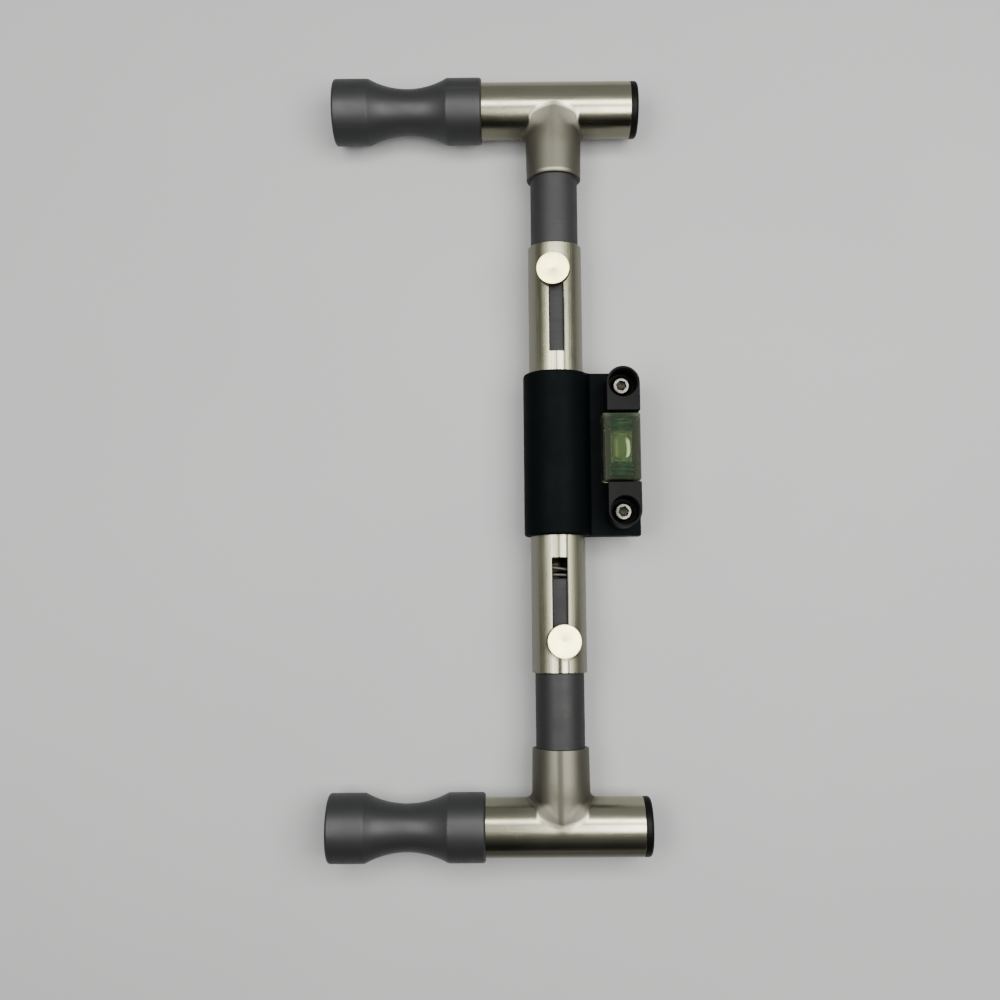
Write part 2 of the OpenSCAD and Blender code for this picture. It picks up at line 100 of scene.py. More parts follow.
spring_low, spring_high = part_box("compression_spring")
WIRE_R = 0.8 * MM
COIL_R = 9.95 * MM
SPRING_TURNS = 13
CLOSED_TURNS = 1.2
CLOSED_PITCH = 2.2 * MM
SPRING_START_ANGLE = math.radians(340)

screw_low, screw_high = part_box("vial_screws")
SCREW_X = (screw_low.x + screw_high.x) / 2
SCREW_HEAD_R = (screw_high.x - screw_low.x) / 2
HOLDER_Y = (screw_low.y + screw_high.y) / 2
SCREW_REACH = (screw_high.y - screw_low.y) / 2 - SCREW_HEAD_R
SCREW_HEAD_H = 5.0 * MM
SCREW_R = 2.5 * MM
SCREW_FLATS = 4.0 * MM

bolt_low, bolt_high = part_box("upper_spool_bolt")
BOLT_HEAD_R = (bolt_high.y - bolt_low.y) / 2
BOLT_HEAD_H = 6.0 * MM
BOLT_R = 3.0 * MM
BOLT_FLATS = 4.8 * MM

block_low, block_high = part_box("vial_block")
fluid_low, fluid_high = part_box("vial_fluid")
bubble_low, bubble_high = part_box("vial_bubble")
VIAL_X = (block_low.x + block_high.x) / 2
VIAL_Y = (block_low.y + block_high.y) / 2
VIAL_Z = (block_low.z + block_high.z) / 2
BLOCK_HALF = (block_high.y - block_low.y) / 2
BARREL_R = (fluid_high.x - fluid_low.x) / 2


# Materials


class Shader:
    """A material's node tree around one Principled shader."""

    def __init__(self, name, **inputs):
        self.material = bpy.data.materials.new(name)
        self.material.use_nodes = True
        self.tree = self.material.node_tree
        self.tree.nodes.clear()
        self.surface = self.add("ShaderNodeBsdfPrincipled", **inputs)
        out = self.add("ShaderNodeOutputMaterial")
        self.tree.links.new(self.surface.outputs["BSDF"], out.inputs["Surface"])

    def set(self, socket, value):
        """Links a node's output to a socket, or sets the socket's own value."""
        if isinstance(value, bpy.types.NodeSocket):
            self.tree.links.new(value, socket)
        else:
            socket.default_value = value

    def add(self, kind, settings=None, **inputs):
        """A new node with its settings, and with its inputs set or linked by name."""
        node = self.tree.nodes.new(kind)
        for key, value in (settings or {}).items():
            setattr(node, key, value)
        for key, value in inputs.items():
            self.set(node.inputs[key.replace("_", " ")], value)
        return node

    def feed(self, socket, value):
        """Links a value to an input of the Principled shader."""
        self.tree.links.new(value, self.surface.inputs[socket])

    def coordinates(self):
        return self.add("ShaderNodeTexCoord").outputs["Object"]

    def axis(self, name, origin=0.0):
        """One object coordinate in metres, measured from an origin."""
        parts = self.add("ShaderNodeSeparateXYZ", Vector=self.coordinates())
        return self.math("SUBTRACT", parts.outputs[name.upper()], origin)

    def away(self, name, origin=0.0):
        """Distance from an origin along one axis, either way."""
        return self.math("ABSOLUTE", self.axis(name, origin))

    def noise(self, scale, detail=3.0, roughness=0.55):
        """Noise from 0 to 1 with the given count of cells per metre along each axis."""
        place = self.add("ShaderNodeMapping", Vector=self.coordinates(), Scale=scale)
        return self.add(
            "ShaderNodeTexNoise",
            Vector=place.outputs["Vector"],
            Scale=1.0,
            Detail=detail,
            Roughness=roughness,
        ).outputs["Fac"]

    def spread(self, value, low, high, source=(0.3, 0.7)):
        """Maps a value from its source range to low and high."""
        return self.add(
            "ShaderNodeMapRange",
            Value=value,
            From_Min=source[0],
            From_Max=source[1],
            To_Min=low,
            To_Max=high,
        ).outputs["Result"]

    def fade(self, value, start, stop, amount=1.0):
        """An amount that fades away as a value goes from start to stop."""
        return self.spread(value, amount, 0.0, (start, stop))

    def math(self, operation, a, b=0.0):
        node = self.add("ShaderNodeMath", {"operation": operation})
        self.set(node.inputs[0], a)
        self.set(node.inputs[1], b)
        return node.outputs["Value"]

    def chain(self, operation, first, *others):
        """One math operation over a row of values."""
        for other in others:
            first = self.math(operation, first, other)
        return first

    def off(self, value, target):
        """How far a value is from a target, either way."""
        return self.math("ABSOLUTE", self.math("SUBTRACT", value, target))

    def distance(self, first, second):
        """Length of two perpendicular distances."""
        return self.math(
            "SQRT",
            self.math("ADD", self.math("MULTIPLY", first, first), self.math("MULTIPLY", second, second)),
        )

    def blend(self, amount, first, second):
        """Mixes two colours by an amount from 0 to 1."""
        mix = self.add("ShaderNodeMix", {"data_type": "RGBA"})
        self.set(mix.inputs["Factor"], amount)
        for socket, value in ((mix.inputs[6], first), (mix.inputs[7], second)):
            self.set(socket, value if isinstance(value, bpy.types.NodeSocket) else (*value, 1.0))
        return mix.outputs[2]

    def mottle(self, noise, tones, source=(0.3, 0.7)):
        """A colour that a noise takes from a light tone to a dark one."""
        return self.blend(self.spread(noise, 0.0, 1.0, source), *tones)

    def roughen(self, noise, low, high, wear):
        """Roughness that a noise takes from low to high, with wear added to it."""
        self.feed("Roughness", self.math("ADD", self.spread(noise, low, high), wear))

    def bump(self, *layers):
        """Stacks height layers, each a (height, strength, depth in metres)."""
        normal = None
        for height, strength, depth in layers:
            node = self.add("ShaderNodeBump", Strength=strength, Distance=depth, Height=height)
            if normal is not None:
                self.tree.links.new(normal, node.inputs["Normal"])
            normal = node.outputs["Normal"]
        self.feed("Normal", normal)

    def grain(self, axis):
        """Stretches highlights around a local axis, across lines that run along it."""
        tangent = self.add("ShaderNodeTangent", {"direction_type": "RADIAL", "axis": axis.upper()})
        self.feed("Tangent", tangent.outputs["Tangent"])


def along(axis, across, lengthwise):
    """A texture scale with one count along an axis and another across it."""
    return tuple(lengthwise if name == axis else across for name in "xyz")


# Colours in linear light; tones are a lighter and a darker one

STEEL_TONES = ((0.230, 0.229, 0.166), (0.187, 0.186, 0.134))
# Stain colour, also used for painted shade on the tee runs
STEEL_STAIN_AND_SHADE = (0.052, 0.051, 0.040)
# Tube flank tone and dark band: painted reflection on the tube's sides
STEEL_FLANK_REFLECTION = (0.182, 0.180, 0.162)
STEEL_REFLECTED_BAND = (0.090, 0.090, 0.078)
STEEL_EDGE_TINT = (0.92, 0.90, 0.84, 1.0)
# Light tone of polished steel, also used for a painted highlight at the ends of the necks
POLISH_LIGHT_AND_HIGHLIGHT = (0.300, 0.298, 0.222)
POLISH_DARK = (0.245, 0.243, 0.180)
# Dark of scribed lines, also used for painted shadow, painted shade and painted dark reflection
SCRIBE_AND_SHADE_DARK = (0.026, 0.025, 0.020)
BORE_DARK = (0.030, 0.028, 0.024)
# Neck tones, far darker than the run: partly a duller finish, partly painted shade for the dimmer light the
# necks reflect
UPPER_NECK = (0.088, 0.087, 0.072)
LOWER_NECK = (0.092, 0.091, 0.075)

KNOB_TONES = ((1.0, 0.955, 0.50), (0.94, 0.895, 0.46))
# Painted shade for the sides of the knobs' heads
KNOB_SIDE_SHADE = (0.040, 0.038, 0.030)
WASHER_TONES = ((0.30, 0.295, 0.275), (0.24, 0.236, 0.22))
SCREW_TONES = ((0.085, 0.084, 0.078), (0.060, 0.059, 0.055))
SOCKET_DARK = (0.016, 0.015, 0.013)
WIRE_TONES = ((0.070, 0.067, 0.060), (0.040, 0.038, 0.034))

GREY_TONES = ((0.0088, 0.0092, 0.0095), (0.0067, 0.0072, 0.0075))
GREY_RUBBED = (0.0130, 0.0134, 0.0134)
GREY_IN_TUBE_SHADE = (0.0062, 0.0060, 0.0068)
GREY_LOWER_SHADE = (0.0040, 0.0043, 0.0043)
CLAMP_TONES = ((0.0013, 0.0019, 0.0022), (0.0010, 0.0015, 0.0017))
HOLDER_TONES = ((0.0024, 0.0025, 0.0025), (0.0017, 0.0018, 0.0018))
PLUG_TONES = ((0.0022, 0.0022, 0.0021), (0.0015, 0.0015, 0.0014))
PLASTIC_EDGE_TINT = (0.93, 0.96, 1.0, 1.0)

HAZE_TONES = ((0.82, 0.94, 0.66), (0.76, 0.88, 0.60))
OVER_BARREL = (0.70, 0.88, 0.56)
OVER_BARREL_END = (0.40, 0.66, 0.38)
FLUID_TONES = ((0.078, 0.118, 0.044), (0.067, 0.103, 0.038))
FLUID_END = (0.006, 0.026, 0.010)
BUBBLE_TONES = ((0.098, 0.130, 0.056), (0.086, 0.116, 0.049))
# Painted highlight on the bubble
BUBBLE_GLINT = (0.90, 0.98, 0.66)
INK_TONES = ((0.009, 0.019, 0.010), (0.006, 0.014, 0.007))

FLOOR_TONES = ((0.207, 0.212, 0.223), (0.198, 0.203, 0.214))
LAMP_COLOUR = (1.0, 0.977, 0.915)
ROOM_COLOUR = (0.98, 0.99, 1.0, 1.0)


SLOT_END = 88.0 * MM

# Scribed lines along the tube: offset from its middle, half width and depth of colour
SCRIBED_LINES = (
    (-2.7 * MM, 0.15 * MM, 0.35),
    (-0.2 * MM, 0.25 * MM, 0.80),
    (3.5 * MM, 0.40 * MM, 1.00),
)


def tube_marks_and_knob_shadow(shader, smudge):
    """Dark marks on top of the tube, scribed lines and a worn band, and a painted shadow ring round the lower
    knob.
    """

    def line(offset, half, depth, soft=0.3 * MM):
        return shader.fade(shader.away("x", BAR_X + offset), half, half + soft, depth)

    scribed = shader.chain("MAXIMUM", *(line(*sizes) for sizes in SCRIBED_LINES))
    below_end = shader.fade(shader.axis("y"), SLOT_END - 18 * MM, SLOT_END - 3 * MM)
    scribed = shader.chain("MULTIPLY", scribed, shader.spread(smudge, 0.8, 1.0), below_end)
    beyond_slot = shader.fade(shader.axis("y"), -SLOT_END - 2 * MM, -SLOT_END)
    worn = shader.math("MULTIPLY", line(-0.3 * MM, 0.5 * MM, 1.0, 0.9 * MM), beyond_slot)
    # Painted shadow of the lower knob: a dark ring round its foot, set a little towards -Y
    from_knob = shader.distance(
        shader.axis("x", BAR_X + KNOB_TOP * math.sin(KNOB_LEAN)),
        shader.axis("y", -KNOB_Y - 0.6 * MM),
    )
    ring = shader.fade(shader.off(from_knob, KNOB_R + 0.1 * MM), 0.3 * MM, 1.1 * MM, 0.55)
    on_top = shader.spread(shader.axis("z", BAR_Z), 0.0, 1.0, (0.70 * TUBE_R, 0.80 * TUBE_R))
    return shader.math("MULTIPLY", shader.chain("MAXIMUM", scribed, worn, ring), on_top)


def tube_steel():
    """Drawn stainless tube: lines along it and smudges, with painted reflection: greyer flanks and a dark
    band towards the vial.
    """
    shader = Shader("tube_steel", Metallic=1.0, Anisotropic=0.6, Specular_Tint=STEEL_EDGE_TINT)
    shader.grain("y")
    lines = shader.noise(along("y", 2300, 22), 4.0, 0.65)
    tracks = shader.noise(along("y", 520, 3), 2.0, 0.5)
    smudge = shader.noise((45, 30, 45), 4.0, 0.6)
    colour = shader.mottle(smudge, STEEL_TONES, (0.35, 0.7))
    colour = shader.blend(shader.spread(tracks, 0.0, 0.35, (0.55, 0.75)), colour, STEEL_STAIN_AND_SHADE)
    # Greyer, darker flanks: painted reflection tone on the sides
    aside = shader.away("x", BAR_X)
    on_flank = shader.spread(aside, 0.0, 1.0, (0.70 * TUBE_R, 0.95 * TUBE_R))
    colour = shader.blend(on_flank, colour, STEEL_FLANK_REFLECTION)
    # A dark band on the flank towards the vial: painted dark reflection
    reflected_band = shader.fade(shader.off(aside, 0.69 * TUBE_R), 0.02 * TUBE_R, 0.18 * TUBE_R)
    vial_side = shader.spread(shader.axis("x", BAR_X), 0.0, 0.52, (-TUBE_R, TUBE_R))
    colour = shader.blend(shader.math("MULTIPLY", reflected_band, vial_side), colour, STEEL_REFLECTED_BAND)
    colour = shader.blend(tube_marks_and_knob_shadow(shader, smudge), colour, SCRIBE_AND_SHADE_DARK)
    from_axis = shader.distance(shader.axis("x", BAR_X), shader.axis("z", BAR_Z))
    inside = shader.fade(from_axis, TUBE_R - 0.8 * MM, TUBE_R - 0.3 * MM)
    shader.feed("Base Color", shader.blend(inside, colour, BORE_DARK))
    wear = shader.spread(smudge, -0.04, 0.05)
    shader.roughen(lines, 0.24, 0.34, wear)
    shader.bump((lines, 0.06, 0.02 * MM), (tracks, 0.04, 0.05 * MM))
    return shader.material


def run_colour(shader, side, smudge, underside_shade, darkening):
    """The polished run, with painted shade along its side towards -Y, and darker towards the spool."""
    colour = shader.mottle(smudge, (POLISH_LIGHT_AND_HIGHLIGHT, POLISH_DARK), (0.35, 0.7))
    # Painted shade along the run's side towards -Y
    painted_underside = shader.fade(shader.axis("y", side * RUN_Y), -9.5 * MM, -8.0 * MM, underside_shade)
    colour = shader.blend(painted_underside, colour, STEEL_STAIN_AND_SHADE)
    spool_side = shader.fade(shader.axis("x", BAR_X), -22 * MM, -8 * MM, 0.5 * darkening)
    return shader.blend(spool_side, colour, STEEL_STAIN_AND_SHADE)


def neck_colour(shader, reach, tone, darkening, end_highlight):
    """The neck, with a painted highlight at its end and a dark streak along it that is painted reflection."""
    # Painted highlight round the middle of the neck's end
    at_end = shader.fade(shader.off(reach, NECK_REACH - 1.3 * MM), 0.3 * MM, 0.8 * MM, end_highlight)
    in_middle = shader.fade(shader.away("x", BAR_X), 3.0 * MM, 9.0 * MM)
    colour = shader.blend(shader.math("MULTIPLY", at_end, in_middle), tone, POLISH_LIGHT_AND_HIGHLIGHT)
    # A dark streak down the neck: painted dark reflection
    streak = shader.fade(shader.away("x", BAR_X - 0.9 * MM), 0.6 * MM, 1.9 * MM, darkening)
    return shader.blend(streak, colour, SCRIBE_AND_SHADE_DARK)


def tee_stain(shader, reach, smudge):
    """Stains near the seam between the run and the neck."""
    from_neck = shader.distance(shader.axis("x", BAR_X), shader.axis("z", BAR_Z))
    near_neck = shader.fade(from_neck, 1.12 * NECK_R, 1.7 * NECK_R)
    near_seam = shader.fade(shader.off(reach, 1.08 * RUN_R), 0.0, 0.55 * RUN_R)
    return shader.chain("MULTIPLY", near_neck, near_seam, shader.spread(smudge, 0.0, 0.8))


def tee_steel(name, side, neck_tone, neck_rough, underside_shade, darkening, end_highlight):
    """Stainless tee with faint lines: painted shade on the run towards -Y, a rougher neck and painted shade
    in the crotch.

    The last three amounts, from 0 to 1, say how deep the painted shade on that side of the run is, how strong
    the darkening is (painted reflection down the neck, painted shade in the crotch, darker towards the
    spool), and how bright the painted highlight at the end of the neck is.
    """
    shader = Shader(name, Metallic=1.0, Specular_Tint=STEEL_EDGE_TINT)
    smudge = shader.noise((55, 55, 55), 4.0, 0.6)
    reach = shader.math("MULTIPLY", shader.axis("y", side * RUN_Y), -side)
    from_run = shader.distance(reach, shader.axis("z", BAR_Z))
    on_neck = shader.spread(from_run, 0.0, 1.0, (RUN_R + 0.005 * MM, RUN_R + 0.3 * MM))
    run = run_colour(shader, side, smudge, underside_shade, darkening)
    neck = neck_colour(shader, reach, neck_tone, darkening, end_highlight)
    # Painted shade along the crease where the neck meets the run
    crossing = shader.distance(shader.axis("x", BAR_X), math.sqrt(RUN_R**2 - NECK_ROOT_R**2))
    painted_crotch_shade = shader.fade(shader.off(reach, crossing), 1.5 * MM, 4.0 * MM, 0.8 * darkening)
    colour = shader.blend(painted_crotch_shade, shader.blend(on_neck, run, neck), SCRIBE_AND_SHADE_DARK)
    stain = tee_stain(shader, reach, smudge)
    shader.feed("Base Color", shader.blend(stain, colour, STEEL_STAIN_AND_SHADE))
    run_lines = shader.noise(along("x", 1500, 30), 3.0, 0.6)
    neck_lines = shader.noise(along("y", 1500, 30), 3.0, 0.6)
    lines = shader.add("ShaderNodeMix", Factor=on_neck, A=run_lines, B=neck_lines).outputs["Result"]
    wear = shader.math("ADD", shader.spread(smudge, -0.03, 0.04), shader.math("MULTIPLY", stain, 0.15))
    wear = shader.math("ADD", wear, shader.math("MULTIPLY", on_neck, neck_rough))
    shader.roughen(lines, 0.20, 0.25, wear)
    shader.bump((lines, 0.008, 0.02 * MM))
    return shader.material


LATHE_RINGS = 3200.0


def turned_steel(name, tones, rough, ring_depth, shaded_below=None):
    """Bright steel turned about its own Z, with the fine rings of the lathe.

    Below a height along Z, where one is given, the steel is painted dark: painted shade on the knob's side.
    """
    shader = Shader(name, Metallic=1.0)
    from_axis = shader.distance(shader.axis("x"), shader.axis("y"))
    place = shader.add("ShaderNodeCombineXYZ", X=shader.math("MULTIPLY", from_axis, LATHE_RINGS))
    noise = shader.add("ShaderNodeTexNoise", Vector=place.outputs["Vector"], Scale=1.0, Detail=2.0)
    rings = noise.outputs["Fac"]
    smudge = shader.noise((190, 190, 190), 3.0, 0.55)
    colour = shader.mottle(smudge, tones)
    # Painted shade below the top face
    if shaded_below:
        shaded_side = shader.fade(shader.axis("z"), shaded_below - 0.3 * MM, shaded_below)
        colour = shader.blend(shaded_side, colour, KNOB_SIDE_SHADE)
    shader.feed("Base Color", colour)
    wear = shader.spread(smudge, -0.04, 0.06)
    shader.roughen(rings, rough - 0.04, rough + 0.04, wear)
    shader.bump((rings, 0.20, ring_depth))
    return shader.material


def screw_steel():
    """Bright screw steel that is dark inside the key socket: partly old oil, partly painted shade of the
    recess.
    """
    shader = Shader("screw_steel", Metallic=1.0)
    from_axis = shader.distance(shader.axis("x"), shader.axis("y"))
    grain = shader.noise((1300, 1300, 1300), 3.0, 0.6)
    # Dark socket: partly old oil, partly painted shade of the recess
    inside = shader.math(
        "MULTIPLY",
        shader.fade(from_axis, 2.5 * MM, 2.9 * MM),
        shader.fade(shader.axis("z"), -0.9 * MM, -0.2 * MM),
    )
    metal = shader.mottle(grain, SCREW_TONES)
    shader.feed("Base Color", shader.blend(inside, metal, SOCKET_DARK))
    oil = shader.math("MULTIPLY", inside, 0.2)
    shader.roughen(grain, 0.20, 0.32, oil)
    shader.bump((grain, 0.06, 0.02 * MM))
    return shader.material


def wire_steel():
    """Dull drawn wire."""
    shader = Shader("wire_steel", Metallic=1.0)
    grain = shader.noise((800, 800, 800), 3.0, 0.6)
    shader.feed("Base Color", shader.mottle(grain, WIRE_TONES))
    shader.feed("Roughness", shader.spread(grain, 0.48, 0.62))
    shader.bump((grain, 0.10, 0.02 * MM))
    return shader.material


def turned_plastic(name, axis, rough, darkened_within=None):
    """Satin grey plastic bar with the fine rings of a lathe and long rub marks.

    Within a distance from the middle of the bar, where one is given, the plastic is rougher where it runs
    in the tube and darker there with painted shade, and darker still towards the lower arm with painted
    shade.
    """
    shader = Shader(name, Specular_IOR_Level=0.27, Specular_Tint=PLASTIC_EDGE_TINT)
    rings = shader.noise(along(axis, 8, 1700), 2.0, 0.5)
    cloud = shader.noise((70, 70, 70), 4.0, 0.6)
    rubs = shader.noise(along(axis, 330, 9), 3.0, 0.55)
    colour = shader.mottle(cloud, GREY_TONES)
    colour = shader.blend(shader.spread(rubs, 0.0, 0.5, (0.58, 0.76)), colour, GREY_RUBBED)
    wear = shader.spread(cloud, rough - 0.05, rough + 0.06)
    if darkened_within:
        # Painted shade where the bar lies in the tube; the added roughness is wear
        worn = shader.fade(shader.away(axis), darkened_within - 2 * MM, darkened_within)
        colour = shader.blend(worn, colour, GREY_IN_TUBE_SHADE)
        # More painted shade towards the lower arm
        lower = shader.fade(shader.axis(axis), -0.9 * darkened_within, 0.9 * darkened_within, 0.75)
        colour = shader.blend(lower, colour, GREY_LOWER_SHADE)
        wear = shader.math("ADD", wear, shader.math("MULTIPLY", worn, 0.12))
    shader.feed("Base Color", colour)
    shader.roughen(rings, -0.04, 0.04, wear)
    shader.bump((rings, 0.14, 0.03 * MM), (rubs, 0.05, 0.03 * MM))
    return shader.material


def moulded_plastic(name, tones, rough, gloss):
    """Satin black plastic with the fine texture of its mould and paler rubbed spots."""
    shader = Shader(name, Specular_IOR_Level=gloss, Specular_Tint=PLASTIC_EDGE_TINT)
    grain = shader.noise((2600, 2600, 2600), 2.0, 0.5)
    cloud = shader.noise((80, 80, 80), 4.0, 0.6)
    shader.feed("Base Color", shader.mottle(cloud, tones))
    wear = shader.spread(cloud, -0.05, 0.07)
    shader.roughen(grain, rough - 0.03, rough + 0.03, wear)
    shader.bump((grain, 0.12, 0.02 * MM))
    return shader.material


def clear_acrylic(name, index, clear):
    """Polished acrylic whose unclear share scatters light as a faint milky haze.

    It looks green over the barrel and darkest over the barrel's ends, and its own ends are sawn.
    """
    shader = Shader(name, Transmission_Weight=clear, IOR=index)
    haze = shader.noise((260, 260, 260), 3.0, 0.5)
    colour = shader.blend(haze, *HAZE_TONES)
    out = shader.away("y", VIAL_Y)
    over_barrel = shader.fade(shader.away("x", VIAL_X), 4.6 * MM, 6.0 * MM)
    over_end = shader.spread(out, 0.0, 1.0, (6.0 * MM, 8.0 * MM))
    green = shader.blend(over_end, OVER_BARREL, OVER_BARREL_END)
    shader.feed("Base Color", shader.blend(over_barrel, colour, green))
    sawn = shader.spread(out, 0.0, 0.45, (BLOCK_HALF - 0.3 * MM, BLOCK_HALF - 0.1 * MM))
    shader.roughen(haze, 0.0, 0.04, sawn)
    return shader.material


def green_fluid():
    """Green spirit, partly clear and partly glowing from scattered light, darker at both ends."""
    shader = Shader("green_fluid", Transmission_Weight=0.45, IOR=1.10)
    cloud = shader.noise((160, 90, 160), 2.0, 0.5)
    middle = shader.mottle(cloud, FLUID_TONES)
    at_end = shader.spread(shader.away("z"), 0.0, 1.0, (6.6 * MM, 7.8 * MM))
    shader.feed("Base Color", shader.blend(at_end, middle, FLUID_END))
    shader.feed("Roughness", shader.spread(cloud, 0.03, 0.10))
    return shader.material


def bubble_air():
    """The bubble's skin, with a bowed painted highlight along its outer side and a faint painted one inside.
    """
    shader = Shader("bubble_air", Transmission_Weight=0.45, IOR=1.03)
    cloud = shader.noise((160, 90, 160), 2.0, 0.5)
    middle = shader.mottle(cloud, BUBBLE_TONES)
    length = shader.away("y", VIAL_Y - 1.2 * MM)
    bow = shader.chain("MULTIPLY", length, length, 30.0)
    bowed = shader.math("ADD", shader.axis("x", VIAL_X), bow)
    # Painted highlights: a bright bow near the outer side and a faint line inside
    outer_glint = shader.fade(shader.off(bowed, 3.1 * MM), 0.45 * MM, 1.1 * MM)
    inner_glint = shader.fade(shader.away("x", VIAL_X - 2.4 * MM), 0.2 * MM, 1.0 * MM, 0.10)
    short = shader.fade(length, 3.4 * MM, 5.4 * MM)
    edge = shader.math("MULTIPLY", shader.math("MAXIMUM", outer_glint, inner_glint), short)
    shader.feed("Base Color", shader.blend(edge, middle, BUBBLE_GLINT))
    shader.feed("Roughness", shader.spread(cloud, 0.03, 0.10))
    return shader.material


def ring_ink():
    """Dark green ink of the index rings."""
    shader = Shader("ring_ink", Specular_IOR_Level=0.1)
    cloud = shader.noise((400, 400, 400), 2.0, 0.5)
    shader.feed("Base Color", shader.blend(cloud, *INK_TONES))
    shader.feed("Roughness", shader.spread(cloud, 0.3, 0.45))
    return shader.material


def floor_paint():
    """Pale matt paint of the studio floor."""
    shader = Shader("floor_paint")
    cloud = shader.noise((6, 6, 6), 3.0, 0.5)
    shader.feed("Base Color", shader.blend(cloud, *FLOOR_TONES))
    shader.feed("Roughness", shader.spread(cloud, 0.75, 0.85))
    return shader.material


TUBE_STEEL = tube_steel()
TEE_STEEL = {
    "upper": tee_steel(
        "upper_tee_steel", SIDES["upper"], UPPER_NECK, neck_rough=0.32, underside_shade=0.50, darkening=0.1, end_highlight=0.8
    ),
    "lower": tee_steel(
        "lower_tee_steel", SIDES["lower"], LOWER_NECK, neck_rough=0.26, underside_shade=0.95, darkening=0.65, end_highlight=0.0
    ),
}
KNOB_STEEL = turned_steel(
    "knob_steel", KNOB_TONES, rough=0.50, ring_depth=0.02 * MM, shaded_below=KNOB_TOP - 0.1 * MM
)
WASHER_STEEL = turned_steel("washer_steel", WASHER_TONES, rough=0.30, ring_depth=0.01 * MM)
SCREW_STEEL = screw_steel()
WIRE_STEEL = wire_steel()
ROD_GREY = turned_plastic("rod_grey", "y", rough=0.56, darkened_within=tube_high.y)
SPOOL_GREY = turned_plastic("spool_grey", "z", rough=0.46)
CLAMP_BLACK = moulded_plastic("clamp_black", CLAMP_TONES, rough=0.50, gloss=0.014)
HOLDER_BLACK = moulded_plastic("holder_black", HOLDER_TONES, rough=0.48, gloss=0.05)
PLUG_BLACK = moulded_plastic("plug_black", PLUG_TONES, rough=0.42, gloss=0.06)
ACRYLIC = clear_acrylic("clear_acrylic", index=1.49, clear=0.985)
PLUG_ACRYLIC = clear_acrylic("plug_acrylic", index=1.06, clear=1.0)
FLUID = green_fluid()
BUBBLE = bubble_air()
INK = ring_ink()


# Mesh helpers


def arc(centre, radius, start, stop, steps):
    """Points of an arc in a plane, from a start to a stop angle in degrees."""
    points = []
    for i in range(steps + 1):
        angle = math.radians(start + (stop - start) * i / steps)
        points.append((centre[0] + radius * math.cos(angle), centre[1] + radius * math.sin(angle)))
    return points


def shade(mesh, angle):
    """Smooth shading, broken at edges sharper than an angle in degrees."""
    mesh.polygons.foreach_set("use_smooth", [True] * len(mesh.polygons))
    mesh.set_sharp_from_angle(angle=math.radians(angle))
    mesh.update()


def mesh_object(name, points, faces, smooth_angle=32):
    """An object from points and faces, with equal points joined and faces turned outwards."""
    mesh = bpy.data.meshes.new(name)
    mesh.from_pydata(points, [], faces)
    work = bmesh.new()
    work.from_mesh(mesh)
    bmesh.ops.remove_doubles(work, verts=work.verts, dist=1e-7)
    bmesh.ops.dissolve_degenerate(work, edges=work.edges, dist=1e-8)
    bmesh.ops.recalc_face_normals(work, faces=work.faces)
    work.to_mesh(mesh)
    work.free()
    shade(mesh, smooth_angle)
    return bpy.data.objects.new(name, mesh)


def stacked_rows(name, rows, loop=False, smooth_angle=32):
    """A skin of quads between neighbouring rings of points; loop joins the last ring to the first."""
    count = len(rows[0])
    points = [p for row in rows for p in row]
    faces = []
    for k in range(len(rows) if loop else len(rows) - 1):
        low = k * count
        high = (k + 1) % len(rows) * count
        for i in range(count):
            j = (i + 1) % count
            faces.append((low + i, low + j, high + j, high + i))
    return mesh_object(name, points, faces, smooth_angle)


LATHE_TURN = 160


def lathe(name, profile, loop=False, smooth_angle=32):
    """Turns a profile of (height, radius) points about local Z."""
    angles = [2 * math.pi * i / LATHE_TURN for i in range(LATHE_TURN)]
    rows = [[(r * math.cos(a), r * math.sin(a), h) for a in angles] for h, r in profile]
    return stacked_rows(name, rows, loop, smooth_angle)


def finish_piece(obj, material, body, slot, *nodes):
    """Gives a new piece its material and its CAD body, and hides the nodes it stands for; the slot is not
    used.
    """
    obj.data.materials.clear()
    obj.data.materials.append(material)
    bpy.context.scene.collection.objects.link(obj)
    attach(obj, body)
    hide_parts(*nodes)
    return obj


def softened(node, width, segments=3, sharp=40):
    """A copy of a CAD node whose flat faces are whole again and whose sharp edges are rounded."""
    work = bmesh.new()
    work.from_mesh(NODES[node].data)
    bmesh.ops.remove_doubles(work, verts=work.verts, dist=2e-6)
    bmesh.ops.dissolve_limit(
        work, angle_limit=math.radians(0.5), verts=work.verts, edges=work.edges, use_dissolve_boundaries=False
    )
    edges = [e for e in work.edges if len(e.link_faces) == 2 and e.calc_face_angle() > math.radians(sharp)]
    bmesh.ops.bevel(
        work,
        geom=edges,
        offset=width,
        offset_type="OFFSET",
        segments=segments,
        profile=0.5,
        affect="EDGES",
        clamp_overlap=True,
    )
    mesh = bpy.data.meshes.new(f"{node}_soft")
    work.to_mesh(mesh)
    work.free()
    shade(mesh, 60)
    obj = bpy.data.objects.new(f"{node}_soft", mesh)
    weight = obj.modifiers.new("weighted", "WEIGHTED_NORMAL")
    weight.weight = 80
    weight.keep_sharp = True
    return obj


ALONG_X = Matrix.Rotation(math.pi / 2, 4, "Y")


# Tees: neck and run meet in the fillet that a rolling ball leaves

TEE_TURN = 256
TEE_ANGLES = [2 * math.pi * i / TEE_TURN for i in range(TEE_TURN)]
RIM_TURN = TEE_TURN // 4
RIM_ANGLES = [2 * math.pi * i / RIM_TURN - math.pi for i in range(RIM_TURN)]
FILLET_ROWS = 10
NECK_ROWS = 10
RUN_ROWS = 26
EDGE_ROWS = 4
EDGE_R = 0.35 * MM
BORE_SHOWN = 3.0 * MM
NECK_LIP = NECK_REACH - EDGE_R
RUN_LIP = RUN_HALF - EDGE_R


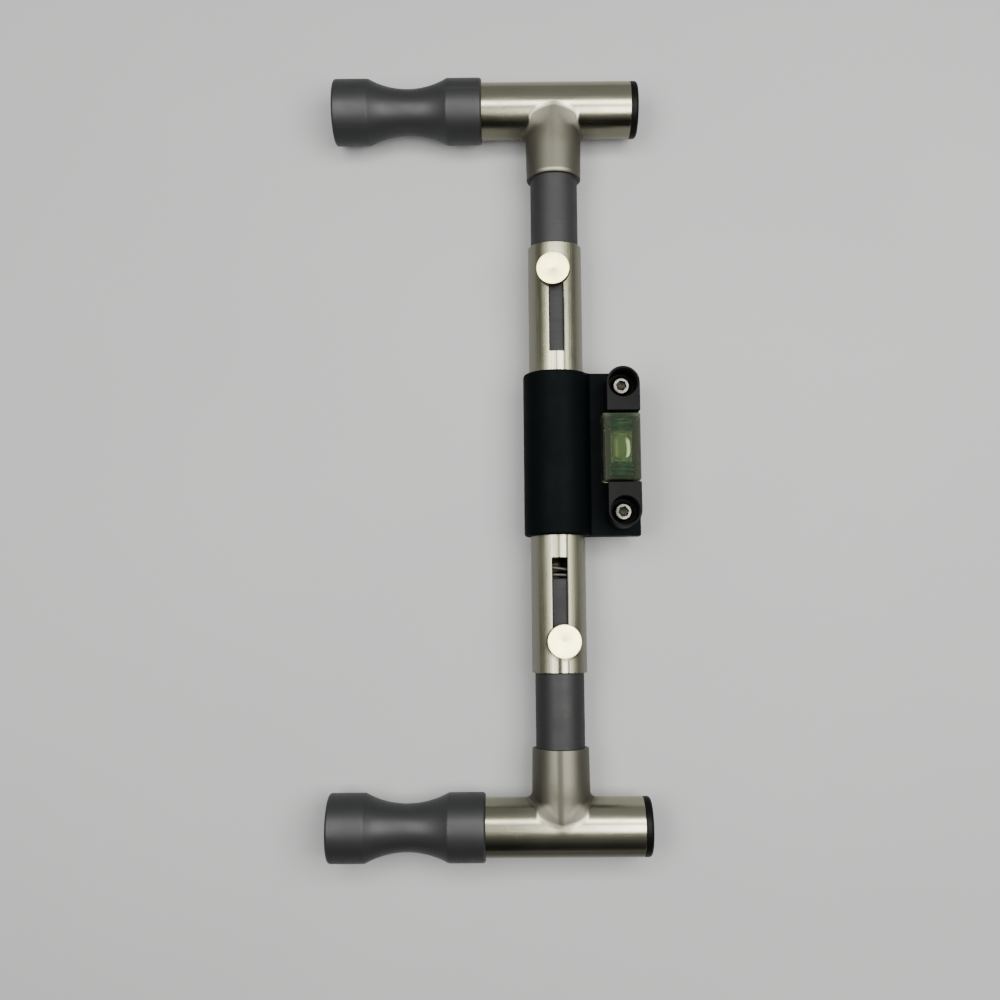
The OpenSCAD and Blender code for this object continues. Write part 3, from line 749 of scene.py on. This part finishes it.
def ball_radius(a):
    """The ball grows from the crotch at the neck's sides to the saddle at its top and bottom."""
    return CROTCH_R + (SADDLE_R - CROTCH_R) * math.sin(a) ** SADDLE_POWER


def ball(a):
    """Centre of the rolling ball at an angle about the neck, as x, reach and z."""
    away = NECK_ROOT_R + ball_radius(a)
    x = away * math.cos(a)
    z = away * math.sin(a)
    return Vector((x, math.sqrt((RUN_R + ball_radius(a)) ** 2 - z * z), z))


def neck_spot(share, a):
    """Place and normal on the neck, from its rim to the ball; it is a little wider at its root."""
    reach = NECK_LIP + (ball(a).y - NECK_LIP) * share
    taper = min(1.0, (NECK_LIP - reach) / (NECK_LIP - RUN_R - CROTCH_R))
    radius = NECK_R + (NECK_ROOT_R - NECK_R) * taper
    return (radius * math.cos(a), reach, radius * math.sin(a)), (math.cos(a), 0, math.sin(a))


def fillet_spot(share, a):
    """Place and normal on the ball, from where it touches the neck to where it touches the run."""
    centre = ball(a)
    to_neck = Vector((-math.cos(a), 0, -math.sin(a)))
    to_run = Vector((0, -centre.y, -centre.z)).normalized()
    direction = to_neck.slerp(to_run, share)
    return centre + ball_radius(a) * direction, -direction


def run_border(a):
    """Where the ray at an angle about the neck leaves the unrolled run, as x and an angle about it."""
    quarter = math.pi / 4
    a = (a + quarter) % (2 * math.pi) - quarter
    side_index = int((a + quarter) // (2 * quarter))
    share = (a - side_index * 2 * quarter) / quarter
    return [
        (RUN_LIP, math.pi * share),
        (-RUN_LIP * share, math.pi),
        (-RUN_LIP, -math.pi * share),
        (RUN_LIP * share, -math.pi),
    ][side_index]


def run_spot(share, a):
    """Place and normal on the run, from the fillet out to the run's border."""
    centre = ball(a)
    border_x, border_angle = run_border(a)
    x = centre.x + (border_x - centre.x) * share
    start = math.atan2(centre.z, centre.y)
    angle = start + (border_angle - start) * share
    return (x, RUN_R * math.cos(angle), RUN_R * math.sin(angle)), (0, math.cos(angle), math.sin(angle))


def open_end(radius, lip):
    """Rings from the outside of an open end, round its rim and into its bore.

    Each is a radius, a distance along the tube, and the outward and endwise share of its normal.
    """
    rings = []
    for k in range(EDGE_ROWS + 1):
        t = math.pi / 2 * k / EDGE_ROWS
        rim = radius - EDGE_R + EDGE_R * math.cos(t)
        rings.append((rim, lip + EDGE_R * math.sin(t), math.cos(t), math.sin(t)))
    rings.append((TEE_BORE_R, lip + EDGE_R, 0, 1))
    rings.append((TEE_BORE_R, lip + EDGE_R - BORE_SHOWN, -1, 0))
    return rings


class TeeSkin:
    """A tee's mesh built row by row, with equal points shared and exact normals kept.

    Places and normals are given from the centre of the run as x, reach and z, where reach runs
    down the neck.
    """

    def __init__(self, side):
        self.side = side
        self.index = {}
        self.points = []
        self.normals = []
        self.faces = []

    def point(self, place, normal):
        x, reach, z = place
        position = (BAR_X + x, self.side * (RUN_Y - reach), BAR_Z + z)
        key = tuple(round(c * 1e7) for c in position)
        if key not in self.index:
            self.index[key] = len(self.points)
            self.points.append(position)
            turned = Vector((normal[0], -self.side * normal[1], normal[2]))
            self.normals.append(tuple(turned.normalized()))
        return self.index[key]

    def neck_ring(self, radius, reach, out, down):
        rays = [(math.cos(a), math.sin(a)) for a in TEE_ANGLES]
        return [self.point((radius * c, reach, radius * s), (out * c, down, out * s)) for c, s in rays]

    def run_ring(self, end, radius, x, out, endwise):
        rays = [(math.cos(a), math.sin(a)) for a in RIM_ANGLES]
        face = end * endwise
        return [self.point((end * x, radius * c, radius * s), (face, out * c, out * s)) for c, s in rays]

    def rows(self, spot, count, steps):
        """A closed row of points for each of the steps, counted out of a full number of them."""
        return [[self.point(*spot(k / count, a)) for a in TEE_ANGLES] for k in steps]

    def cover(self, rows):
        """Quads between neighbouring closed rows, with corners that coincide dropped."""
        for first, second in zip(rows, rows[1:]):
            count = len(first)
            for i in range(count):
                j = (i + 1) % count
                corners = list(dict.fromkeys((first[i], first[j], second[j], second[i])))
                if len(corners) > 2:
                    self.faces.append(corners)

    def build(self, name):
        mesh = bpy.data.meshes.new(name)
        mesh.from_pydata(self.points, [], self.faces)
        work = bmesh.new()
        work.from_mesh(mesh)
        bmesh.ops.recalc_face_normals(work, faces=work.faces)
        work.to_mesh(mesh)
        work.free()
        mesh.polygons.foreach_set("use_smooth", [True] * len(mesh.polygons))
        mesh.normals_split_custom_set_from_vertices(self.normals)
        mesh.update()
        return bpy.data.objects.new(name, mesh)


def tee_piece(name, side):
    skin = TeeSkin(side)
    rows = [skin.neck_ring(*sizes) for sizes in reversed(open_end(NECK_R, NECK_LIP))]
    rows += skin.rows(neck_spot, NECK_ROWS, range(1, NECK_ROWS))
    rows += skin.rows(fillet_spot, FILLET_ROWS, range(FILLET_ROWS + 1))
    rows += skin.rows(run_spot, RUN_ROWS, range(1, RUN_ROWS + 1))
    skin.cover(rows)
    for end in (1, -1):
        skin.cover([skin.run_ring(end, *sizes) for sizes in open_end(RUN_R, RUN_LIP)])
    obj = skin.build(f"{name}_tee_skin")
    finish_piece(obj, TEE_STEEL[name], f"{name}_arm", "stainless_tee", f"{name}_tee")


# Spools: waisted rollers turned from bar, with the bolt's pocket in the outer end

WAIST_BLEND = 2.5 * MM
POCKET_EDGE = 0.4 * MM


def spool_profile():
    end = SPOOL_START + SPOOL_LEN
    middle = (SPOOL_START + end) / 2
    depth = SPOOL_R - WAIST_R
    waist_arc = ((WAIST_LEN / 2) ** 2 + depth**2) / (2 * depth)
    arc_height = WAIST_R + waist_arc
    # The edge between land and waist is rounded by a ball that touches both
    ball_height = SPOOL_R - WAIST_BLEND
    ball_away = math.sqrt((waist_arc + WAIST_BLEND) ** 2 - (arc_height - ball_height) ** 2)
    slope = math.degrees(math.atan2(ball_away, arc_height - ball_height))
    edge = SPOOL_EDGE_R
    profile = [(SPOOL_START, BOLT_POCKET_R + POCKET_EDGE)]
    profile += arc((SPOOL_START + edge, SPOOL_R - edge), edge, 180, 90, 8)
    profile += arc((middle - ball_away, ball_height), WAIST_BLEND, 90, 90 - slope, 6)
    profile += arc((middle, arc_height), waist_arc, 270 - slope, 270 + slope, 60)[1:-1]
    profile += arc((middle + ball_away, ball_height), WAIST_BLEND, 90 + slope, 90, 6)
    profile += arc((end - edge, SPOOL_R - edge), edge, 90, 0, 8)
    profile += [
        (end, SOCKET_R),
        (end - SOCKET_DEPTH, SOCKET_R),
        (end - SOCKET_DEPTH, ROD_R),
        (SPIGOT_END, ROD_R),
        (SPIGOT_END, BOLT_HOLE_R),
        (SPOOL_START + BOLT_POCKET_DEPTH, BOLT_HOLE_R),
        (SPOOL_START + BOLT_POCKET_DEPTH, BOLT_POCKET_R),
        (SPOOL_START + POCKET_EDGE, BOLT_POCKET_R),
    ]
    return profile


def spool_piece(name, side):
    obj = lathe(f"{name}_spool_turned", spool_profile(), loop=True)
    obj.matrix_world = Matrix.Translation((BAR_X, side * RUN_Y, BAR_Z)) @ ALONG_X
    finish_piece(obj, SPOOL_GREY, f"{name}_arm", "grey_plastic", f"{name}_spool")


# End plugs: a round-edged cap with a moulded ring, and a finned skirt inside the tee

PLUG_EDGE_R = 1.6 * MM
PLUG_CHAMFER = 0.25 * MM
PLUG_DISH = 0.25 * MM
PLUG_DISH_R = 8.2 * MM
PLUG_RING_R = 8.8 * MM
PLUG_SKIRT_R = TEE_BORE_R - 1.2 * MM
PLUG_FINS = 3
FIN_R = TEE_BORE_R - 0.1 * MM
FIN_HALF = 0.9 * MM


def plug_profile():
    edge = PLUG_EDGE_R
    dish = PLUG_END - PLUG_DISH
    profile = [(dish, 0.0), (dish, PLUG_DISH_R), (PLUG_END, PLUG_RING_R)]
    profile += arc((PLUG_END - edge, RUN_R - edge), edge, 0, 90, 10)
    profile += [(RUN_HALF + PLUG_CHAMFER, RUN_R), (RUN_HALF, RUN_R - PLUG_CHAMFER)]
    profile.append((RUN_HALF, PLUG_SKIRT_R))
    step = (RUN_HALF - PLUG_START) / (PLUG_FINS + 1)
    for i in range(PLUG_FINS):
        middle = RUN_HALF - (i + 1) * step
        profile += [(middle + FIN_HALF, PLUG_SKIRT_R), (middle, FIN_R), (middle - FIN_HALF, PLUG_SKIRT_R)]
    profile += [(PLUG_START, PLUG_SKIRT_R), (PLUG_START, 0.0)]
    return profile


def plug_piece(name, side):
    obj = lathe(f"{name}_plug_turned", plug_profile())
    obj.matrix_world = Matrix.Translation((BAR_X, side * RUN_Y, BAR_Z)) @ ALONG_X
    finish_piece(obj, PLUG_BLACK, f"{name}_arm", "black_plastic", f"{name}_end_plug")


# Finger knobs: turned heads whose necks lean against one side of the slot

KNOB_EDGE = 0.45 * MM
KNOB_NECK_R = 1.75 * MM
DIMPLE_R = 0.55 * MM
NECK_IN_ROD = 1.0 * MM


def knob_profile():
    edge = KNOB_EDGE
    profile = [(KNOB_TOP - DIMPLE_R / 2, 0.0), (KNOB_TOP, DIMPLE_R)]
    profile += arc((KNOB_TOP - edge, KNOB_R - edge), edge, 0, 90, 6)
    profile += [
        (KNOB_UNDER + edge, KNOB_R),
        (KNOB_UNDER, KNOB_R - edge),
        (KNOB_UNDER, KNOB_NECK_R),
        (ROD_R - NECK_IN_ROD, KNOB_NECK_R),
        (ROD_R - NECK_IN_ROD, 0.0),
    ]
    return profile


def knob_piece(name, side):
    obj = lathe(f"{name}_knob_turned", knob_profile())
    lean = Matrix.Rotation(-side * KNOB_LEAN, 4, "Y")
    obj.matrix_world = Matrix.Translation((BAR_X, side * KNOB_Y, BAR_Z)) @ lean
    finish_piece(obj, KNOB_STEEL, f"{name}_arm", "knob_steel", f"{name}_knob")


# Socket screws: knurled heads with a key socket that ends in a drilled cone

SCREW_TURN = 144
KNURL_DEPTH = 0.12 * MM
KNURL_WAVE = (0, 0.6, 1, 0.6)
SCREW_CHAMFER = 0.3 * MM
KEY_TURN = math.radians(17)


def socket_screw(name, head_r, head_h, shank_r, shank_len, flats):
    """A screw along local Z whose head's top is at the origin."""
    angles = [2 * math.pi * i / SCREW_TURN for i in range(SCREW_TURN)]

    def ring(radius, height):
        return [(radius * math.cos(a), radius * math.sin(a), height) for a in angles]

    def knurled(height):
        radii = [head_r - KNURL_DEPTH * KNURL_WAVE[i % 4] for i in range(SCREW_TURN)]
        return [(r * math.cos(a), r * math.sin(a), height) for r, a in zip(radii, angles)]

    def hexagon(width, height):
        sixth = math.pi / 3
        radii = [width / 2 / math.cos((a + sixth / 2) % sixth - sixth / 2) for a in angles]
        return [(r * math.cos(a), r * math.sin(a), height) for r, a in zip(radii, angles)]

    edge = 0.17 * head_h
    chamfer = SCREW_CHAMFER
    tip = -head_h - shank_len
    rows = [ring(0, tip), ring(shank_r - chamfer, tip), ring(shank_r, tip + chamfer)]
    rows += [ring(shank_r, -head_h), ring(head_r - chamfer, -head_h)]
    rows += [knurled(-head_h + chamfer), knurled(-edge - chamfer)]
    rows += [ring(r, h) for h, r in arc((-edge, head_r - KNURL_DEPTH - edge), edge, 90, 0, 5)]
    rows += [hexagon(1.12 * flats, 0.0), hexagon(flats, -0.06 * flats)]
    rows += [hexagon(flats, -0.5 * head_h), ring(0.30 * flats, -0.56 * head_h), ring(0, -0.64 * head_h)]
    return stacked_rows(name, rows, smooth_angle=28)


def vial_screw_pieces():
    for name, side in SIDES.items():
        length = screw_high.z - screw_low.z - SCREW_HEAD_H
        obj = socket_screw(f"{name}_vial_screw", SCREW_HEAD_R, SCREW_HEAD_H, SCREW_R, length, SCREW_FLATS)
        turn = Matrix.Rotation(KEY_TURN * side, 4, "Z")
        obj.matrix_world = Matrix.Translation((SCREW_X, HOLDER_Y + side * SCREW_REACH, screw_high.z)) @ turn
        finish_piece(obj, SCREW_STEEL, "barrel", "fastener_steel", "vial_screws")


def spool_bolt_piece(name, side):
    length = bolt_high.x - bolt_low.x - BOLT_HEAD_H
    obj = socket_screw(f"{name}_bolt_turned", BOLT_HEAD_R, BOLT_HEAD_H, BOLT_R, length, BOLT_FLATS)
    obj.matrix_world = Matrix.Translation((bolt_low.x, side * RUN_Y, BAR_Z)) @ ALONG_X.inverted()
    finish_piece(obj, SCREW_STEEL, f"{name}_arm", "fastener_steel", f"{name}_spool_bolt")


# Spring: one wire in two lengths

WIRE_SIDES = 14
STEPS_PER_TURN = 40


def spring_height(turn):
    """Height of the wire along the bar after a number of turns."""
    low = spring_low.y + WIRE_R
    high = spring_high.y - WIRE_R
    rise = CLOSED_TURNS * CLOSED_PITCH
    if turn < CLOSED_TURNS:
        return low + turn * CLOSED_PITCH
    if turn > SPRING_TURNS - CLOSED_TURNS:
        return high - (SPRING_TURNS - turn) * CLOSED_PITCH
    share = (turn - CLOSED_TURNS) / (SPRING_TURNS - 2 * CLOSED_TURNS)
    return low + rise + share * (high - low - 2 * rise)


def wire_ring(turn):
    angle = SPRING_START_ANGLE + 2 * math.pi * turn
    ring = []
    for k in range(WIRE_SIDES):
        b = 2 * math.pi * k / WIRE_SIDES
        radius = COIL_R + WIRE_R * math.cos(b)
        y = spring_height(turn) + WIRE_R * math.sin(b)
        ring.append((BAR_X + radius * math.cos(angle), y, BAR_Z + radius * math.sin(angle)))
    return ring


def spring_pieces():
    for name, first, last in (("lower", 0, SPRING_TURNS / 2), ("upper", SPRING_TURNS / 2, SPRING_TURNS)):
        count = round((last - first) * STEPS_PER_TURN)
        rows = [wire_ring(first + (last - first) * i / count) for i in range(count + 1)]
        for end in (0, -1):
            centre = sum((Vector(p) for p in rows[end]), Vector()) / WIRE_SIDES
            rows.insert(0 if end == 0 else len(rows), [tuple(centre)] * WIRE_SIDES)
        obj = stacked_rows(f"{name}_spring_half", rows, smooth_angle=50)
        finish_piece(obj, WIRE_STEEL, "barrel", "spring_wire", "compression_spring")
        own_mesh(obj)


# Vial: a polished clear block, the green barrel inside it and the bubble at the barrel's top

BLOCK_BEVEL = 0.8 * MM
POLISH_R = 0.25 * MM
BARREL_INSET = 0.30 * MM
BARREL_EDGE_R = 0.5 * MM
BUBBLE_INSET = 0.03 * MM


def vial_block_piece():
    w = (block_high.x - block_low.x) / 2
    h = (block_high.z - block_low.z) / 2
    c = BLOCK_BEVEL
    half = [(-w + c, -h), (w - c, -h), (w, -h + c), (w, h - c)]
    outline = half + [(-x, -z) for x, z in half]

    def ring(shrink, y):
        return [(VIAL_X + x * (1 - shrink / w), y, VIAL_Z + z * (1 - shrink / h)) for x, z in outline]

    low, high = block_low.y, block_high.y
    rows = [[(VIAL_X, low, VIAL_Z)] * len(outline), ring(POLISH_R, low), ring(0, low + POLISH_R)]
    rows += [ring(0, high - POLISH_R), ring(POLISH_R, high), [(VIAL_X, high, VIAL_Z)] * len(outline)]
    obj = stacked_rows("vial_block_clear", rows, smooth_angle=10)
    finish_piece(obj, ACRYLIC, "barrel", "clear_acrylic", "vial_block")


def vial_fluid_piece():
    radius = BARREL_R - BARREL_INSET
    half = (fluid_high.y - fluid_low.y) / 2
    edge = BARREL_EDGE_R
    profile = [(-half, 0.0)]
    profile += arc((-half + edge, radius - edge), edge, 180, 90, 6)
    profile += arc((half - edge, radius - edge), edge, 90, 0, 6)
    profile.append((half, 0.0))
    obj = lathe("vial_fluid_body", profile)
    obj.matrix_world = Matrix.Translation((VIAL_X, VIAL_Y, VIAL_Z)) @ Matrix.Rotation(math.pi / 2, 4, "X")
    finish_piece(obj, FLUID, "barrel", "vial_fluid", "vial_fluid")


BUBBLE_ROWS = 14
BUBBLE_RIM = 0.45
BUBBLE_TURN = 96


def bubble_piece():
    """A long blister against the top of the barrel: a capsule in plan, round at its rim."""
    half_w = (bubble_high.x - bubble_low.x) / 2
    half_l = (bubble_high.y - bubble_low.y) / 2
    depth = bubble_high.z - bubble_low.z
    top_r = BARREL_R - BUBBLE_INSET
    straight = half_l - half_w
    middle_z = bubble_high.z - BUBBLE_RIM * depth
    angles = [2 * math.pi * i / BUBBLE_TURN for i in range(BUBBLE_TURN)]

    def outline(share, a):
        x = share * half_w * math.cos(a)
        y = share * half_w * math.sin(a) + math.copysign(straight, math.sin(a)) * min(1.0, 4 * share)
        return x, y

    rows = []
    for k in range(2 * BUBBLE_ROWS + 1):
        t = math.pi * k / (2 * BUBBLE_ROWS)
        share = math.sin(t)
        row = []
        for a in angles:
            x, y = outline(share, a)
            roof = VIAL_Z + math.sqrt(top_r**2 - x * x)
            rim = min(middle_z, roof - 0.1 * MM)
            if k < BUBBLE_ROWS:
                z = rim + (roof - rim) * math.sqrt(1 - share**10)
            else:
                z = rim + (rim - bubble_low.z) * math.cos(t)
            row.append((VIAL_X + x, VIAL_Y + y, z))
        rows.append(row)
    obj = stacked_rows("vial_bubble_blister", rows, smooth_angle=60)
    finish_piece(obj, BUBBLE, "bubble", "vial_bubble", "vial_bubble")


# Pieces of the scene

for name, side in SIDES.items():
    tee_piece(name, side)
    spool_piece(name, side)
    plug_piece(name, side)
    knob_piece(name, side)
    spool_bolt_piece(name, side)
vial_screw_pieces()
spring_pieces()
vial_block_piece()
vial_fluid_piece()
bubble_piece()
finish_piece(softened("center_tube", 0.16 * MM), TUBE_STEEL, "barrel", "stainless_tube", "center_tube")
finish_piece(softened("vial_clamp", 0.6 * MM), CLAMP_BLACK, "barrel", "black_plastic", "vial_clamp")
finish_piece(softened("vial_holder", 0.4 * MM), HOLDER_BLACK, "barrel", "black_plastic", "vial_holder")
for name in SIDES:
    finish_piece(softened(f"{name}_rod", 0.15 * MM), ROD_GREY, f"{name}_arm", "grey_plastic", f"{name}_rod")

# CAD pieces that keep their shape
KEPT = {
    "clamp_nuts": WASHER_STEEL,
    "vial_end_plug": PLUG_ACRYLIC,
    "vial_index_rings": INK,
}
for name in SIDES:
    KEPT[f"{name}_bolt_washer"] = WASHER_STEEL
for name, material in KEPT.items():
    NODES[name].data.materials.clear()
    NODES[name].data.materials.append(material)


# Stage, light and camera

FLOOR_HALF = 4.0


def studio_floor():
    far = FLOOR_HALF
    mesh = bpy.data.meshes.new("floor")
    mesh.from_pydata([(-far, -far, 0), (far, -far, 0), (far, far, 0), (-far, far, 0)], [], [(0, 1, 2, 3)])
    floor = bpy.data.objects.new("floor", mesh)
    floor.data.materials.append(floor_paint())
    bpy.context.scene.collection.objects.link(floor)


studio_floor()


PANEL_Z = 0.75
PANEL_GLOW = 52.0


def panel(name, x_range, y_range):
    """A flat studio light overhead, given by its extent from the middle of the bar."""
    light = bpy.data.lights.new(name, "AREA")
    light.shape = "RECTANGLE"
    light.size = x_range[1] - x_range[0]
    light.size_y = y_range[1] - y_range[0]
    light.energy = PANEL_GLOW * light.size * light.size_y
    light.color = LAMP_COLOUR
    lamp = bpy.data.objects.new(name, light)
    lamp.location = (BAR_X + sum(x_range) / 2, sum(y_range) / 2, PANEL_Z)
    bpy.context.scene.collection.objects.link(lamp)


# The panels leave a gap around the camera and towards the far side, which shows dark in the
# polished tees and keeps the flat top of the vial clear
panel("panel_left", (-0.57, -0.20), (-0.29, 0.36))
panel("panel_near", (0.05, 0.70), (-0.29, 0.02))
panel("panel_right", (0.15, 0.70), (0.02, 0.36))
panel("panel_far", (-0.20, 0.15), (0.18, 0.36))


def studio_world():
    """A pale room, dark where the camera stands, dim to both sides and brightest on the far side."""
    world = bpy.data.worlds.new("studio")
    world.use_nodes = True
    tree = world.node_tree
    direction = tree.nodes.new("ShaderNodeTexCoord").outputs["Generated"]
    parts = tree.nodes.new("ShaderNodeSeparateXYZ")
    tree.links.new(direction, parts.inputs["Vector"])

    def rise(value, low, high, start, stop):
        """Takes a value from low to high between a start and a stop."""
        ramp = tree.nodes.new("ShaderNodeMapRange")
        tree.links.new(value, ramp.inputs["Value"])
        for socket, number in (("From Min", start), ("From Max", stop), ("To Min", low), ("To Max", high)):
            ramp.inputs[socket].default_value = number
        return ramp.outputs["Result"]

    def combine(operation, first, second):
        node = tree.nodes.new("ShaderNodeMath")
        node.operation = operation
        tree.links.new(first, node.inputs[0])
        tree.links.new(second, node.inputs[1])
        return node.outputs["Value"]

    near = rise(parts.outputs["Y"], 0.02, 0.26, -0.90, -0.35)
    far = rise(parts.outputs["Y"], 0.0, 0.20, 0.10, 0.60)
    aside = combine("MULTIPLY", parts.outputs["X"], parts.outputs["X"])
    room = combine("MULTIPLY", combine("ADD", near, far), rise(aside, 1.0, 0.45, 0.55, 0.92))
    background = tree.nodes["Background"]
    background.inputs["Color"].default_value = ROOM_COLOUR
    tree.links.new(room, background.inputs["Strength"])
    return world


bpy.context.scene.world = studio_world()

# The photograph's viewpoint, fitted to its tube, rods, tees and spools
CAMERA_FROM_BAR = Vector((-24.44, -72.91, 508.90)) * MM
CAMERA_TILT = 0.10303
CAMERA_SWING = 0.00498
CAMERA_ROLL = -0.00787
FOCAL_PIXELS = 1090.1
FRAME_PIXELS = 1000
SENSOR_WIDTH = 36.0


def photo_camera():
    """A camera at the photograph's viewpoint, turned from looking straight down."""
    data = bpy.data.cameras.new("camera")
    data.sensor_width = SENSOR_WIDTH
    data.lens = SENSOR_WIDTH * FOCAL_PIXELS / FRAME_PIXELS
    data.clip_start = 0.01
    camera = bpy.data.objects.new("camera", data)
    tilt = Matrix.Rotation(CAMERA_TILT, 4, "X")
    swing = Matrix.Rotation(CAMERA_SWING, 4, "Y")
    roll = Matrix.Rotation(CAMERA_ROLL, 4, "Z")
    spot = Vector((BAR_X, 0, BAR_Z)) + CAMERA_FROM_BAR
    camera.matrix_world = Matrix.Translation(spot) @ tilt @ swing @ roll
    bpy.context.scene.collection.objects.link(camera)
    return camera


bpy.context.scene.camera = photo_camera()
